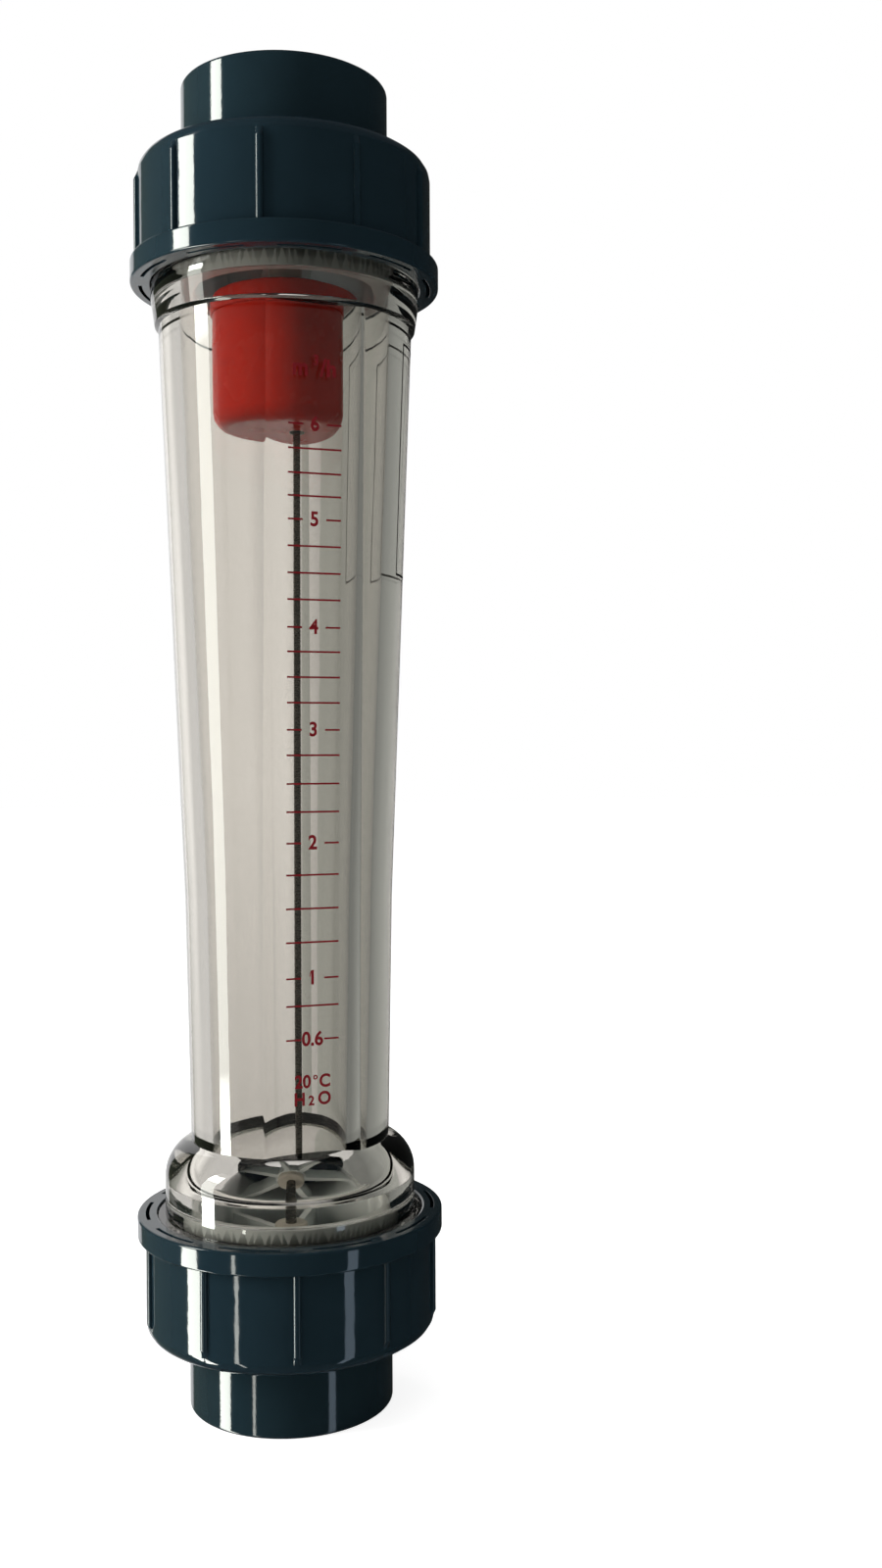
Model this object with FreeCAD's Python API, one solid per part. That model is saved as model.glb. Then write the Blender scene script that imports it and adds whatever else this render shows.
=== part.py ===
import FreeCAD, Part

import math
import os

# Clear-tube flow meter (rotameter) with a float on a guide rod and a union at each end.
# Millimetres. +Z is the direction of flow, the origin is the centre of the lower end face, and the scale
# side of the tube faces -Y. Both ends are alike: an end piece is modelled at the lower end, and its twin
# is the same piece turned over about the middle of the meter.

# --- overall ---
overall_length = 475.0
tube_base_radius = 36.0  # outside of the metering tube just above its lower shoulder

# --- metering tube ---
tube_wall = 7.8  # across the round sides
lower_taper = 1.6  # growth of the radius from the shoulder up to the knee
upper_taper = 8.0  # growth from the knee up to the upper thread
taper_knee_height = 144.0  # above the lower end of the tube
flat_width = 34.5  # each of the two opposite flats, front and back
thread_depth = 2.6
thread_chamfer = 1.5
lower_thread_length = 29.0
upper_thread_length = 45.0
collar_step = 2.8  # the plain collar below the shoulder is this much smaller than the thread
collar_length = 14.0
shoulder_length = 13.0
shoulder_bulge = 2.7  # how far the rounded shoulder stands out past a straight cone
counterbore_depth = 33.0  # for the rod support, at both ends
support_seat = 1.1  # width of the ledge that the upper support bears on
lower_recess_length = 7.0  # wider space between the lower support and the metering bore
lower_recess_step = 3.0
bore_lead = 1.0

# --- end connectors, for solvent-welded pipe ---
pipe_bore_radius = 31.6
pipe_socket_depth = 38.0
pipe_stop_width = 4.6
pipe_stop_height = 3.0  # from the bottom of the pipe socket to the flange's face
socket_wall = 5.5
flange_thickness = 8.0
flange_thread_gap = 0.6  # the flange passes the nut's thread with this to spare
connector_bevel = 1.0

# --- face seals ---
seal_width = 2.6
seal_height = 2.4
seal_side_gap = 0.3
seal_bevel = 0.7

# --- union nuts ---
nut_thread_gap = 0.1
nut_wall = 4.3
nut_end_wall = 6.0
nut_length = 43.6
nut_socket_gap = 0.6
nut_corner_round = 5.0
nut_band_height = 8.0
nut_band_step = 2.9
nut_band_bevel = 0.7
nut_mouth_chamfer = 0.6
rib_count = 10
rib_width = 2.6
rib_step = 1.4
rib_lead = 3.0
rib_edge_round = 0.6
core_slot_width = 1.3
core_slot_depth = 5.0
core_slot_angle = 24.0
lower_nut_turn = 6.15  # where the ribs have come to rest, degrees about Z
upper_nut_turn = 31.15

# --- rod supports ---
support_gap = 0.2
support_ring_wall = 6.2
support_ring_height = 22.0
support_skirt_wall = 2.4
support_bevel = 0.8
support_seal_height = 7.0  # middle of the ring seal, from the support's inner face
support_seal_width = 2.8
support_seal_depth = 2.3
support_seal_gap = 0.05
support_seal_bevel = 0.8
spoke_count = 6
spoke_width = 2.6
spoke_drop = 12.0  # spokes and hub lie this far behind the support's inner face
spoke_height = 10.0
hub_radius = 7.0
hub_height = 13.0

# --- guide rod and its nuts ---
rod_radius = 2.0
rod_fit = 0.05
rod_end_chamfer = 0.5
rod_nut_flats = 7.0
rod_nut_height = 3.2
rod_overhang = 1.3

# --- stop buffers ---
buffer_radius = 6.0
buffer_bevel = 0.8
lower_buffer_length = 3.0
stop_gap = 0.2
float_top_below_support = 0.3  # the float's top, at its upper stop, past the upper support's inner face

# --- float ---
float_height = 54.0
float_bore_gap = 0.75  # between the float's cap and the lower end of the metering bore
float_cap_step = 0.65
float_cap_height = 8.0
float_cap_bevel = 0.6
float_cap_spigot = 4.0
float_bottom_round = 5.5
float_wall = 3.0
float_hub_wall = 2.5
float_joint_gap = 0.05
weight_height = 24.0
weight_shell_gap = 4.5  # between the weight and the wall of the shell
weight_hub_gap = 0.05
bush_wall = 2.0
bush_length = 9.0
bush_fit = 0.08

# --- the model ---
same_place = 0.001  # two edges nearer than this are the same one

# --- worked out along the axis ---
connector_length = pipe_socket_depth + pipe_stop_height
tube_bottom = connector_length
tube_top = overall_length - connector_length
lower_thread_top = tube_bottom + lower_thread_length
collar_top = lower_thread_top + collar_length
shoulder_top = collar_top + shoulder_length
taper_knee = tube_bottom + taper_knee_height
upper_thread_bottom = tube_top - upper_thread_length
lower_support_face = tube_bottom + counterbore_depth
upper_support_face = tube_top - counterbore_depth
lower_bore_end = lower_support_face + lower_recess_length
flange_back = connector_length - flange_thickness
nut_outer_face = flange_back - nut_end_wall
nut_inner_face = nut_outer_face + nut_length
hub_end = spoke_drop + hub_height
rod_end = hub_end + rod_nut_height + rod_overhang  # past a support's inner face
float_top = upper_support_face + float_top_below_support
float_bottom = float_top - float_height
float_floor = float_bottom + float_wall
float_cap_bottom = float_top - float_cap_height
float_spigot_bottom = float_cap_bottom - float_cap_spigot
upper_buffer_length = spoke_drop - float_top_below_support - stop_gap

# --- worked out across the axis ---
knee_radius = tube_base_radius + lower_taper
tube_top_radius = knee_radius + upper_taper
thread_radius = tube_top_radius + thread_depth
collar_radius = thread_radius - collar_step
clear_of_all = 2 * thread_radius


def outer_radius_at(height):
    """Outside of the round sides of the metering tube: two straight tapers that meet at the knee."""
    if height < taper_knee:
        slope = lower_taper / (taper_knee - shoulder_top)
    else:
        slope = upper_taper / (upper_thread_bottom - taper_knee)
    return knee_radius + slope * (height - taper_knee)


def bore_radius_at(height):
    return outer_radius_at(height) - tube_wall


def flat_distance_at(height):
    """Distance from the axis to a flat, which keeps its width as the tube tapers."""
    return math.sqrt(outer_radius_at(height) ** 2 - (flat_width / 2) ** 2)


counterbore_radius = bore_radius_at(upper_support_face) + support_seat
support_radius = counterbore_radius - support_gap
flange_radius = tube_top_radius - flange_thread_gap
socket_radius = pipe_bore_radius + socket_wall
waterway_radius = pipe_bore_radius - pipe_stop_width
seal_radius = (counterbore_radius + flange_radius) / 2
nut_bore_radius = thread_radius + nut_thread_gap
nut_body_radius = nut_bore_radius + nut_wall
nut_band_radius = nut_body_radius + nut_band_step
float_cap_radius = bore_radius_at(lower_bore_end) - float_bore_gap
float_body_radius = float_cap_radius - float_cap_step
float_cavity_radius = float_body_radius - float_wall
bush_bore_radius = rod_radius + bush_fit
bush_radius = bush_bore_radius + bush_wall
float_hub_radius = bush_radius + float_hub_wall


def lathe(outline):
    """Solid of revolution about Z of a closed outline of (radius, height) stations.

    A station of four numbers ends an arc, and its last two are a point that the arc passes through.
    """
    points = [FreeCAD.Vector(station[0], 0, station[1]) for station in outline]
    edges = []
    for index, station in enumerate(outline):
        start, end = points[index - 1], points[index]
        if len(station) == 4:
            through = FreeCAD.Vector(station[2], 0, station[3])
            edges.append(Part.Arc(start, through, end).toShape())
        else:
            edges.append(Part.LineSegment(start, end).toShape())
    face = Part.Face(Part.Wire(edges))
    return face.revolve(FreeCAD.Vector(0, 0, 0), FreeCAD.Vector(0, 0, 1), 360)


def circular_edges(solid, circles):
    """The edges that are circles about the axis at the given (radius, height) places."""
    picked = []
    for edge in solid.Edges:
        if not isinstance(edge.Curve, Part.Circle):
            continue
        here = (edge.Curve.Radius, edge.Curve.Center.z)
        if any(math.dist(here, circle) < same_place for circle in circles):
            picked.append(edge)
    return picked


def soften(solid, radius, *circles):
    return solid.makeFillet(radius, circular_edges(solid, circles))


def bevel(solid, size, *circles):
    return solid.makeChamfer(size, circular_edges(solid, circles))


def bevelled_ring(inner, outer, bottom, top, size):
    """Ring of rectangular section with its four corners bevelled, as a squeezed rubber ring has."""
    ring = lathe([(inner, bottom), (outer, bottom), (outer, top), (inner, top)])
    corners = [(radius, height) for radius in (inner, outer) for height in (bottom, top)]
    return bevel(ring, size, *corners)


def around(solid, count):
    """Copies of a solid in a ring about Z."""
    copies = []
    for index in range(count):
        copy = solid.copy()
        copy.rotate(FreeCAD.Vector(0, 0, 0), FreeCAD.Vector(0, 0, 1), 360 * index / count)
        copies.append(copy)
    return copies


def turned(solid, angle):
    copy = solid.copy()
    copy.rotate(FreeCAD.Vector(0, 0, 0), FreeCAD.Vector(0, 0, 1), angle)
    return copy


def at_the_other_end(solid):
    """The same piece turned over about the middle of the meter."""
    copy = solid.copy()
    copy.rotate(FreeCAD.Vector(0, 0, overall_length / 2), FreeCAD.Vector(1, 0, 0), 180)
    return copy


def tube_column():
    """Tapered column with two opposite flats, as high as the bare part of the tube and into both ends."""
    foot, head = collar_top, upper_thread_bottom + thread_depth
    column = lathe(
        [
            (0, foot),
            (outer_radius_at(foot), foot),
            (knee_radius, taper_knee),
            (outer_radius_at(head), head),
            (0, head),
        ]
    )
    far = clear_of_all
    side = [FreeCAD.Vector(-far, -flat_distance_at(z), z) for z in (foot, taper_knee, head)]
    side += [FreeCAD.Vector(-far, -far, head), FreeCAD.Vector(-far, -far, foot)]
    cutter = Part.Face(Part.makePolygon(side + side[:1])).extrude(FreeCAD.Vector(2 * far, 0, 0))
    return column.cut(around(cutter, 2))


def tube_base():
    """Lower thread, plain collar and rounded shoulder, which runs inwards at 45 degrees to meet the flats."""
    inner = tube_base_radius - tube_wall
    bulge = shoulder_bulge / math.sqrt(2)
    shoulder_middle = (collar_radius + tube_base_radius) / 2 + bulge
    shoulder_middle_height = (collar_top + shoulder_top) / 2 + bulge
    return lathe(
        [
            (0, tube_bottom),
            (thread_radius - thread_chamfer, tube_bottom),
            (thread_radius, tube_bottom + thread_chamfer),
            (thread_radius, lower_thread_top),
            (collar_radius, lower_thread_top),
            (collar_radius, collar_top),
            (tube_base_radius, shoulder_top, shoulder_middle, shoulder_middle_height),
            (inner, shoulder_top + tube_wall),
            (0, shoulder_top + tube_wall),
        ]
    )


def tube_head():
    """Upper thread, with an underside that runs inwards at 45 degrees to meet the flats."""
    inner = tube_top_radius - tube_wall
    return lathe(
        [
            (0, upper_thread_bottom - tube_wall),
            (inner, upper_thread_bottom - tube_wall),
            (thread_radius, upper_thread_bottom + thread_depth),
            (thread_radius, tube_top - thread_chamfer),
            (thread_radius - thread_chamfer, tube_top),
            (0, tube_top),
        ]
    )


def metering_tube():
    """Clear tube: tapered bore, two outer flats, a thread at each end and a counterbore for each support."""
    recess_radius = counterbore_radius - lower_recess_step
    bore_end_radius = bore_radius_at(lower_bore_end)
    bore = lathe(
        [
            (0, tube_bottom - bore_lead),
            (counterbore_radius, tube_bottom - bore_lead),
            (counterbore_radius, lower_support_face),
            (recess_radius, lower_support_face),
            (recess_radius, lower_bore_end),
            (bore_end_radius + bore_lead, lower_bore_end),
            (bore_end_radius, lower_bore_end + bore_lead),
            (bore_radius_at(taper_knee), taper_knee),
            (bore_radius_at(upper_support_face), upper_support_face),
            (counterbore_radius, upper_support_face),
            (counterbore_radius, tube_top + bore_lead),
            (0, tube_top + bore_lead),
        ]
    )
    return tube_column().fuse([tube_base(), tube_head()]).cut(bore).removeSplitter()


def end_connector():
    """Lower end connector: pipe socket, waterway, flange and the groove for the face seal."""
    groove_bottom = connector_length - seal_height
    groove_inner = seal_radius - seal_width / 2 - seal_side_gap
    groove_outer = seal_radius + seal_width / 2 + seal_side_gap
    body = lathe(
        [
            (pipe_bore_radius, 0),
            (socket_radius, 0),
            (socket_radius, flange_back),
            (flange_radius, flange_back),
            (flange_radius, connector_length),
            (groove_outer, connector_length),
            (groove_outer, groove_bottom),
            (groove_inner, groove_bottom),
            (groove_inner, connector_length),
            (waterway_radius, connector_length),
            (waterway_radius, pipe_socket_depth),
            (pipe_bore_radius, pipe_socket_depth),
        ]
    )
    return bevel(body, connector_bevel, (socket_radius, 0), (flange_radius, connector_length))


def face_seal():
    """Lower face seal, a rubber ring pressed flush between its groove and the end of the tube."""
    inner, outer = seal_radius - seal_width / 2, seal_radius + seal_width / 2
    bottom = connector_length - seal_height
    return bevelled_ring(inner, outer, bottom, connector_length, seal_bevel)


def grip_rib():
    """One rib on the side of the lower nut: it rises from the skin near the outer end and meets the band."""
    root = nut_body_radius - rib_step
    crest = nut_body_radius + rib_step
    start = nut_outer_face + nut_corner_round
    end = nut_inner_face - nut_band_height / 2
    outline = [(root, start - rib_lead), (crest, start + rib_lead), (crest, end), (root, end)]
    points = [FreeCAD.Vector(radius, -rib_width / 2, height) for radius, height in outline]
    rib = Part.Face(Part.makePolygon(points + points[:1])).extrude(FreeCAD.Vector(0, rib_width, 0))
    long_edges = []
    for edge in rib.Edges:
        lies_along = abs(edge.Vertexes[0].Y - edge.Vertexes[1].Y) < rib_edge_round
        if lies_along and all(vertex.X > nut_body_radius for vertex in edge.Vertexes):
            long_edges.append(edge)
    return rib.makeFillet(rib_edge_round, long_edges)


def core_slot():
    """One curved pocket in the band's face, which keeps the moulding's wall even."""
    middle = (nut_bore_radius + nut_band_radius) / 2
    inner, outer = middle - core_slot_width / 2, middle + core_slot_width / 2
    floor = FreeCAD.Vector(0, 0, nut_inner_face - core_slot_depth)
    up = FreeCAD.Vector(0, 0, 1)
    past_face = 2 * core_slot_depth
    slot = Part.makeCylinder(outer, past_face, floor, up, core_slot_angle)
    slot = slot.cut(Part.makeCylinder(inner, past_face, floor, up))
    return turned(slot, (360 / rib_count - core_slot_angle) / 2)


def union_nut():
    """Lower union nut: plain bore at the root of its thread, end wall, gripping band, ribs and core slots."""
    band_bottom = nut_inner_face - nut_band_height
    body = lathe(
        [
            (socket_radius + nut_socket_gap, nut_outer_face),
            (nut_body_radius, nut_outer_face),
            (nut_body_radius, band_bottom),
            (nut_band_radius, band_bottom),
            (nut_band_radius, nut_inner_face),
            (nut_bore_radius + nut_mouth_chamfer, nut_inner_face),
            (nut_bore_radius, nut_inner_face - nut_mouth_chamfer),
            (nut_bore_radius, flange_back),
            (socket_radius + nut_socket_gap, flange_back),
        ]
    )
    body = soften(body, nut_corner_round, (nut_body_radius, nut_outer_face))
    body = bevel(body, nut_band_bevel, (nut_band_radius, band_bottom), (nut_band_radius, nut_inner_face))
    body = body.fuse(around(grip_rib(), rib_count)).cut(around(core_slot(), rib_count))
    return body.removeSplitter()


def as_lower_support(solid):
    """Places a support's piece, modelled with its inner face at z = 0 and its outer side up, below."""
    copy = solid.copy()
    copy.rotate(FreeCAD.Vector(0, 0, 0), FreeCAD.Vector(1, 0, 0), 180)
    copy.translate(FreeCAD.Vector(0, 0, lower_support_face))
    return copy


def as_upper_support(solid):
    copy = solid.copy()
    copy.translate(FreeCAD.Vector(0, 0, upper_support_face))
    return copy


def rod_support():
    """Spider that holds the rod: ring with a seal groove, spokes, hub, and a skirt up to the tube's end."""
    ring_inner = support_radius - support_ring_wall
    groove_radius = support_radius - support_seal_depth
    groove_start = support_seal_height - support_seal_width / 2 - seal_side_gap
    groove_end = support_seal_height + support_seal_width / 2 + seal_side_gap
    ring = lathe(
        [
            (ring_inner, 0),
            (support_radius, 0),
            (support_radius, groove_start),
            (groove_radius, groove_start),
            (groove_radius, groove_end),
            (support_radius, groove_end),
            (support_radius, counterbore_depth),
            (support_radius - support_skirt_wall, counterbore_depth),
            (support_radius - support_skirt_wall, support_ring_height),
            (ring_inner, support_ring_height),
        ]
    )
    ring = bevel(ring, support_bevel, (ring_inner, 0))
    inside_ring = (ring_inner + support_radius - support_skirt_wall) / 2
    corner = FreeCAD.Vector(0, -spoke_width / 2, spoke_drop)
    spoke = Part.makeBox(inside_ring, spoke_width, spoke_height, corner)
    hub = Part.makeCylinder(hub_radius, hub_height, FreeCAD.Vector(0, 0, spoke_drop))
    hole = Part.makeCylinder(rod_radius + rod_fit, hub_end)
    spider = ring.fuse(around(spoke, spoke_count) + [hub]).cut(hole).removeSplitter()
    return bevel(spider, support_bevel, (hub_radius, hub_end))


def support_seal():
    """Rubber ring in the groove round a support, pressed against the counterbore."""
    inner = support_radius - support_seal_depth + support_seal_gap
    outer = counterbore_radius - support_seal_gap
    bottom = support_seal_height - support_seal_width / 2
    top = support_seal_height + support_seal_width / 2
    return bevelled_ring(inner, outer, bottom, top, support_seal_bevel)


def guide_rod():
    """Straight rod through both hubs, chamfered at its ends."""
    bottom = lower_support_face - rod_end
    top = upper_support_face + rod_end
    return lathe(
        [
            (0, bottom),
            (rod_radius - rod_end_chamfer, bottom),
            (rod_radius, bottom + rod_end_chamfer),
            (rod_radius, top - rod_end_chamfer),
            (rod_radius - rod_end_chamfer, top),
            (0, top),
        ]
    )


def rod_nut():
    """Hexagon nut on the rod, against the outer end of a hub."""
    corner = rod_nut_flats / math.sqrt(3)
    hexagon = []
    for index in range(6):
        angle = math.radians(60 * index)
        hexagon.append(FreeCAD.Vector(corner * math.cos(angle), corner * math.sin(angle), hub_end))
    prism = Part.Face(Part.makePolygon(hexagon + hexagon[:1])).extrude(FreeCAD.Vector(0, 0, rod_nut_height))
    chamfer = corner - rod_nut_flats / 2
    top = hub_end + rod_nut_height
    shaper = lathe(
        [(0, hub_end), (corner, hub_end), (corner, top - chamfer), (corner - chamfer, top), (0, top)]
    )
    hole = Part.makeCylinder(rod_radius + rod_fit, rod_nut_height, FreeCAD.Vector(0, 0, hub_end))
    return prism.common(shaper).cut(hole)


def stop_buffer(length):
    """Soft sleeve on the rod, against the inner end of a hub, that the float runs up to."""
    inner = rod_radius + rod_fit
    front = spoke_drop - length
    sleeve = lathe(
        [(inner, front), (buffer_radius, front), (buffer_radius, spoke_drop), (inner, spoke_drop)]
    )
    return bevel(sleeve, buffer_bevel, (buffer_radius, front))


def float_body():
    """Moulded shell of the float: a deep cup with a round bottom edge and a hub up its middle."""
    hub_top = float_spigot_bottom - float_joint_gap
    cup = lathe(
        [
            (bush_radius, float_bottom),
            (float_body_radius, float_bottom),
            (float_body_radius, float_cap_bottom),
            (float_cavity_radius, float_cap_bottom),
            (float_cavity_radius, float_floor),
            (float_hub_radius, float_floor),
            (float_hub_radius, hub_top),
            (bush_radius, hub_top),
        ]
    )
    cup = soften(cup, float_bottom_round, (float_body_radius, float_bottom))
    return bevel(cup, float_bottom_round - float_wall, (float_cavity_radius, float_floor))


def float_cap():
    """Lid of the float: a wide rim whose top edge is read against the scale, and a spigot into the shell."""
    spigot_radius = float_cavity_radius - float_joint_gap
    lid = lathe(
        [
            (bush_radius, float_spigot_bottom),
            (spigot_radius, float_spigot_bottom),
            (spigot_radius, float_cap_bottom),
            (float_cap_radius, float_cap_bottom),
            (float_cap_radius, float_top),
            (bush_radius, float_top),
        ]
    )
    return bevel(lid, float_cap_bevel, (float_cap_radius, float_top), (float_cap_radius, float_cap_bottom))


def float_weight():
    """Metal ring on the floor of the float's shell."""
    inner, outer = float_hub_radius + weight_hub_gap, float_cavity_radius - weight_shell_gap
    top = float_floor + weight_height
    return lathe([(inner, float_floor), (outer, float_floor), (outer, top), (inner, top)])


def float_bush(bottom):
    """Plain bush in the float that runs on the rod."""
    top = bottom + bush_length
    outer = bush_radius - float_joint_gap
    return lathe([(bush_bore_radius, bottom), (outer, bottom), (outer, top), (bush_bore_radius, top)])


os.makedirs("parts", exist_ok=True)
pieces = {
    "metering_tube": metering_tube(),
    "lower_end_connector": end_connector(),
    "upper_end_connector": at_the_other_end(end_connector()),
    "lower_face_seal": face_seal(),
    "upper_face_seal": at_the_other_end(face_seal()),
    "lower_union_nut": turned(union_nut(), lower_nut_turn),
    "upper_union_nut": turned(at_the_other_end(union_nut()), upper_nut_turn),
    "lower_rod_support": as_lower_support(rod_support()),
    "upper_rod_support": as_upper_support(rod_support()),
    "lower_support_seal": as_lower_support(support_seal()),
    "upper_support_seal": as_upper_support(support_seal()),
    "guide_rod": guide_rod(),
    "lower_rod_nut": as_lower_support(rod_nut()),
    "upper_rod_nut": as_upper_support(rod_nut()),
    "lower_stop_buffer": as_lower_support(stop_buffer(lower_buffer_length)),
    "upper_stop_buffer": as_upper_support(stop_buffer(upper_buffer_length)),
    "float_body": float_body(),
    "float_cap": float_cap(),
    "float_weight": float_weight(),
    "lower_float_bush": float_bush(float_bottom),
    "upper_float_bush": float_bush(float_top - bush_length),
}
for name, piece in pieces.items():
    piece.exportStep(f"parts/{name}.step")
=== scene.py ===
import math

import bmesh
import bpy
import numpy as np
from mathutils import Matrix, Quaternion, Vector


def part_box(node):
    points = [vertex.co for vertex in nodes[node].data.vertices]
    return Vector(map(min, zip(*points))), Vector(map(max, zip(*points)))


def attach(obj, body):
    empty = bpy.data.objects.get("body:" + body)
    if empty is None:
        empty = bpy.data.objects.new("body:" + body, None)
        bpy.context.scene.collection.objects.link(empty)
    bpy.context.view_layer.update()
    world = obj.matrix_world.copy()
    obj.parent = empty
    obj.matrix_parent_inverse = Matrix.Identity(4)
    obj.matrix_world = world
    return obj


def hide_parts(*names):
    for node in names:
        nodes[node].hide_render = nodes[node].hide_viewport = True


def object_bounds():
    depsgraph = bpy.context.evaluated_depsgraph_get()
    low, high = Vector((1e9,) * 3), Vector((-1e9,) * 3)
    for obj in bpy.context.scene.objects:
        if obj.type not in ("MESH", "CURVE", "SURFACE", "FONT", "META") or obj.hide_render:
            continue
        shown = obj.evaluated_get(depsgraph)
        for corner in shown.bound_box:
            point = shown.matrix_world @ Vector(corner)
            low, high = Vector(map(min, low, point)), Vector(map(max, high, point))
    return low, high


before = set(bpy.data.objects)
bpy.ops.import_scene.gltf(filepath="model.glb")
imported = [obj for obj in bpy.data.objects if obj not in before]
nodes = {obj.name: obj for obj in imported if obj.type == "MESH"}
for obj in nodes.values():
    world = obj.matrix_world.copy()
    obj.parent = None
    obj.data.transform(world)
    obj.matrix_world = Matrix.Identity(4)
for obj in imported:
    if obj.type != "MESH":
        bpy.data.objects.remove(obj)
cad_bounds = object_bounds()


# ---- Metering tube ----
# The long clear body of the meter, which tapers so that the float rises as the flow grows. It is injection
# moulded in one piece in styrene-acrylonitrile (SAN), with a coarse thread at each end, a plain collar and
# rounded shoulder at the foot, and a flat down the front and the back.

def box_mm(node):
    """Lowest and highest corner of a CAD node in millimetres."""
    return [np.array(corner) * 1000 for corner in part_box(node)]


tube_low, tube_high = box_mm("metering_tube")
tube_foot, tube_top, thread_crest = tube_low[2], tube_high[2], tube_high[0]
overall = cad_bounds[1].z * 1000

whole_turn = 2 * math.pi
flat_half_width = 17.25
wall = 7.8
base_radius, knee_radius, head_radius = 36.0, 37.6, 45.6
lower_thread_top, collar_top, shoulder_middle, shoulder_top = (tube_foot + up for up in (29, 43, 49.5, 56))
shoulder_bulge = 1.909
knee_height, head_height = tube_foot + 144, tube_top - 45
thread_pitch, thread_depth, thread_chamfer = 6.0, 2.6, 1.5
crest_half_width, flank_width = 0.9, 1.3
faded_depth, upper_fade, lower_fade = 0.28, (15.6, 21.6), (19.0, 27.0)
collar_radius = thread_crest - 2.8
counterbore = 39.37
support_face_low, support_face_high = tube_foot + 33, tube_top - 33
recess_radius, recess_top = 36.37, tube_foot + 40
bore_foot_radius = 27.9


def round_side(height):
    """Radius of the tube's round sides: two straight tapers, the upper one steeper, that meet at the knee."""
    past_knee = height - knee_height
    lower = knee_radius + past_knee * (knee_radius - base_radius) / (knee_height - shoulder_top)
    upper = knee_radius + past_knee * (head_radius - knee_radius) / (head_height - knee_height)
    return np.maximum(lower, upper)


def flat_distance(height):
    """Distance from the axis to a flat: third side of a right triangle on the radius and half the width."""
    return np.sqrt(round_side(height) ** 2 - flat_half_width**2)


def column_radius(angle, height):
    """Radius of the column in a direction: the round side, or the flat's distance over the cosine if less."""
    least_cosine = 0.3
    slant = np.maximum(np.abs(np.cos(angle)), least_cosine)
    return np.minimum(round_side(height), flat_distance(height) / slant)


def thread_radius(angle, height):
    """Radius of a right-hand thread: flat crest and root, joined by flanks, that climb one pitch a turn.

    It runs out shallow and soft under the upper nut's mouth, and under the lower collar, and is full inside
    the nuts.
    """
    turns = height / thread_pitch - angle / whole_turn
    off_crest = np.abs(turns - np.round(turns)) * thread_pitch
    full_above = np.interp(height - head_height, upper_fade, [0, 1])
    full_below = np.interp(height - tube_foot, lower_fade, [1, 0])
    inside = np.where(height < knee_height, full_below, full_above)
    flank = flank_width + (1 - inside) * (thread_pitch / 2 - crest_half_width - flank_width)
    sunk = np.clip((off_crest - crest_half_width) / flank, 0, 1)
    depth = faded_depth + inside * (thread_depth - faded_depth)
    return thread_crest - depth * sunk * sunk * (3 - 2 * sunk)


def profile(*corners, closed=True, hold=0.12):
    """Outline through corners of (radius, height, rounding, stations on the straight run that follows).

    A rounding is a circular arc, written as a weighted quadratic curve between the two places where it leaves
    the straight runs. A station a hold's length past each end of the arc keeps the shading of the runs flat.
    """
    arc_stations = 5
    corner = np.array(corners, float)
    place, size = corner[:, :2], corner[:, 2:3]
    back, ahead = np.roll(place, 1, 0) - place, np.roll(place, -1, 0) - place
    back /= np.linalg.norm(back, axis=1, keepdims=True)
    ahead /= np.linalg.norm(ahead, axis=1, keepdims=True)
    half = np.arccos(np.clip((back * ahead).sum(1, keepdims=True), -1, 1)) / 2
    begin, end = place + back * size / np.tan(half), place + ahead * size / np.tan(half)
    share = np.linspace(0, 1, arc_stations)[:, None, None]
    pull = 2 * np.sin(half) * share * (1 - share)
    arcs = ((1 - share) ** 2 * begin + pull * place + share**2 * end) / ((1 - share) ** 2 + pull + share**2)
    arcs = np.concatenate([(begin + back * hold)[None], arcs, (end + ahead * hold)[None]])
    arcs = list(arcs.swapaxes(0, 1))
    if not closed:
        arcs[0], arcs[-1] = place[:1], place[-1:]
    stations = []
    for index, arc in enumerate(arcs):
        stations.append(arc)
        if closed or index < len(arcs) - 1:
            gap = arcs[(index + 1) % len(arcs)][0] - arc[-1]
            steps = np.linspace(0, 1, int(corner[index, 3]) + 2)[1:-1, None]
            stations.append(arc[-1] + steps * gap)
    return np.vstack(stations)


def arc_through(start, middle, end, count):
    """Stations on the circle through three places, whose centre is where the chords' bisectors cross."""
    start, middle, end = (np.array(place) for place in (start, middle, end))
    chords = np.array([middle - start, end - middle])
    centre = np.linalg.solve(chords, (chords * np.array([start + middle, middle + end]) / 2).sum(1))
    first, last = (math.atan2(*(place - centre)[::-1]) for place in (start, end))
    turn = np.linspace(first, last, count)
    return centre + math.dist(start, centre) * np.stack([np.cos(turn), np.sin(turn)], 1)


def around_axis(radius, angle, height):
    """Points at a radius, a height and an angle from the front (-Y) towards the right (+X)."""
    radius, angle, height = np.broadcast_arrays(radius, angle, height)
    return np.stack([radius * np.sin(angle), -radius * np.cos(angle), height], -1)


def skin(name, points, closed=True, crease=48):
    """Mesh object from a grid of points in millimetres: rows along the outline, columns round the axis.

    Every cell between four neighbours is a face, the last column meets the first, and so does the last row
    where the outline is closed. Points that fall together are merged.
    """
    rows, columns = points.shape[:2]
    index = np.arange(rows * columns).reshape(rows, columns)
    if closed:
        index = np.vstack([index, index[:1]])
    index = np.hstack([index, index[:, :1]])
    faces = np.stack([index[:-1, :-1], index[:-1, 1:], index[1:, 1:], index[1:, :-1]], -1).reshape(-1, 4)
    mesh = bpy.data.meshes.new(name)
    mesh.from_pydata(points.reshape(-1, 3) / 1000, [], faces.tolist())
    return finished(name, mesh, crease)


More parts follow.
